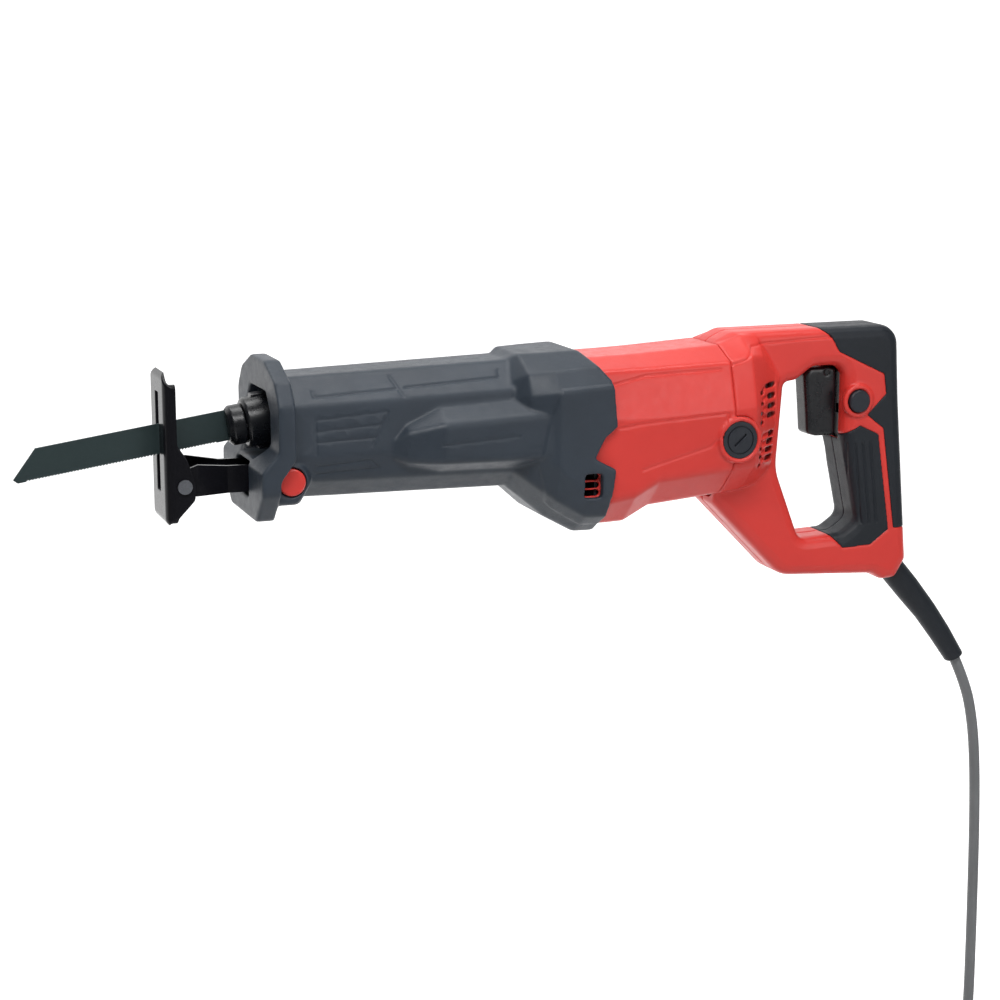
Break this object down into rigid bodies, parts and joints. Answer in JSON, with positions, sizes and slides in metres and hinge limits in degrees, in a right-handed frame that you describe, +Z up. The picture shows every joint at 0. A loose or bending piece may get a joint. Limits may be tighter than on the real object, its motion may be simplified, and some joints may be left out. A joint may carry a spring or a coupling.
{
  "type": "reciprocating saw",
  "caption": "Corded reciprocating saw with a D-shaped rear handle, ridged front grip, bevel-gear crank drive, tilting shoe and a hanging mains cord.",
  "frame": {"origin": "centre of the rear D-handle's grip, in the plane that halves the saw", "axes": "+X rearwards along the motor axis (the blade points to -X), +Z up, -Y to the operator's left"},
  "size_m": [0.7173, 0.097, 0.712],
  "materials": {
    "cover_rubber": "satin moulded, dark slate grey",
    "red_shell": "satin moulded red",
    "soft_grip": "matt soft moulding, near black",
    "black_plastic": "satin black",
    "red_button": "satin moulded red",
    "black_steel": "gloss black coat on pressed steel",
    "blade_steel": "dark blue-green coat",
    "bright_steel": "ground",
    "casting": "as cast",
    "bronze": "sintered bronze, copper and brass",
    "carbon": "carbon, matt",
    "cord_sheath": "matt grey cord sheath"
  },
  "bodies": {
    "casing": {"brush_caps": "black_plastic", "brush_holders": "bronze", "capacitor": "casting", "carbon_brushes": "carbon", "case_screws": "bright_steel", "cord": "cord_sheath", "cord_clamp": "black_plastic", "cord_coil": "cord_sheath", "cord_guard": "soft_grip", "cord_tie": "black_plastic", "crank_bearing": "bright_steel", "fan_baffle": "soft_grip", "field_coils": "bronze", "field_core": "bright_steel", "front_bearing": "bright_steel", "front_cover": "cover_rubber", "front_grip_left": "soft_grip", "front_grip_right": "soft_grip", "gear_housing": "casting", "gear_housing_cover": "casting", "handle_left": "red_shell", "handle_right": "red_shell", "handle_screws": "bright_steel", "motor_end_bracket": "casting", "motor_housing": "red_shell", "plug_body": "black_plastic", "plug_pins": "bronze", "plunger_front_bush": "bronze", "plunger_rear_bush": "bronze", "plunger_seal": "soft_grip", "rear_bearing": "bright_steel", "rear_grip_left": "soft_grip", "rear_grip_right": "soft_grip", "switch_body": "black_plastic", "trigger_pin": "bright_steel"},
    "blade_carrier": {"saw_blade": "blade_steel", "clamp_nose": "black_plastic", "clamp_pin": "bright_steel", "plunger": "bright_steel", "drive_yoke": "bright_steel", "yoke_screws": "bright_steel"},
    "clamp_sleeve": {"blade_clamp_sleeve": "black_plastic"},
    "crank": {"crank_gear": "bright_steel", "crank_shaft": "bright_steel", "crank_pin": "bright_steel", "crank_roller": "bright_steel"},
    "armature": {"armature_shaft": "bright_steel", "pinion": "bright_steel", "armature_core": "bright_steel", "armature_windings": "bronze", "commutator": "bronze", "cooling_fan": "black_plastic"},
    "shoe_slider": {"shoe_arm": "black_steel", "shoe_rivet": "bright_steel"},
    "shoe": {"shoe_plate": "black_steel"},
    "shoe_button": {"shoe_lock_button": "red_button"},
    "trigger_lever": {"trigger": "black_plastic"},
    "lock_button": {"lock_on_button": "black_plastic"}
  },
  "joints": [
    {"name": "crank_turn", "type": "hinge", "parent": "casing", "child": "crank", "pos_m": [-0.27559, 0, 0.03279], "axis": [-0.1426, 0, 0.9898], "range_deg": [-90, 90]},
    {"name": "blade_stroke", "type": "slide", "parent": "casing", "child": "blade_carrier", "axis": [-0.9898, 0, -0.1426], "range_m": [-0.014, 0.014]},
    {"name": "armature_spin", "type": "hinge", "parent": "casing", "child": "armature", "pos_m": [-0.15, 0, 0.0255], "axis": [1, 0, 0], "range_deg": [-450, 450]},
    {"name": "sleeve_turn", "type": "hinge", "parent": "blade_carrier", "child": "clamp_sleeve", "pos_m": [-0.3927, 0, 0.04623], "axis": [-0.9898, 0, -0.1426], "range_deg": [0, 80], "stiffness_Nm_per_rad": 0.02},
    {"name": "shoe_slide", "type": "slide", "parent": "casing", "child": "shoe_slider", "axis": [-1, 0, 0], "range_m": [0, 0.03]},
    {"name": "shoe_tilt", "type": "hinge", "parent": "shoe_slider", "child": "shoe", "pos_m": [-0.4383, 0, 0.0147], "axis": [0, 1, 0], "range_deg": [-15, 20]},
    {"name": "shoe_lock_press", "type": "slide", "parent": "casing", "child": "shoe_button", "axis": [0, 1, 0], "range_m": [0, 0.0035], "stiffness_N_per_m": 800},
    {"name": "trigger_pull", "type": "hinge", "parent": "casing", "child": "trigger_lever", "pos_m": [-0.033, 0, 0.057], "axis": [0, -1, 0], "range_deg": [0, 7.5], "stiffness_Nm_per_rad": 1.5, "springref_deg": -2.86},
    {"name": "lock_on_press", "type": "slide", "parent": "casing", "child": "lock_button", "axis": [0, 1, 0], "range_m": [0, 0.003], "stiffness_N_per_m": 700}
  ],
  "couplings": [
    {"joint": "blade_stroke", "follows": "crank_turn", "m_per_rad": 0.0089127},
    {"joint": "armature_spin", "follows": "crank_turn", "ratio": -5}
  ]
}
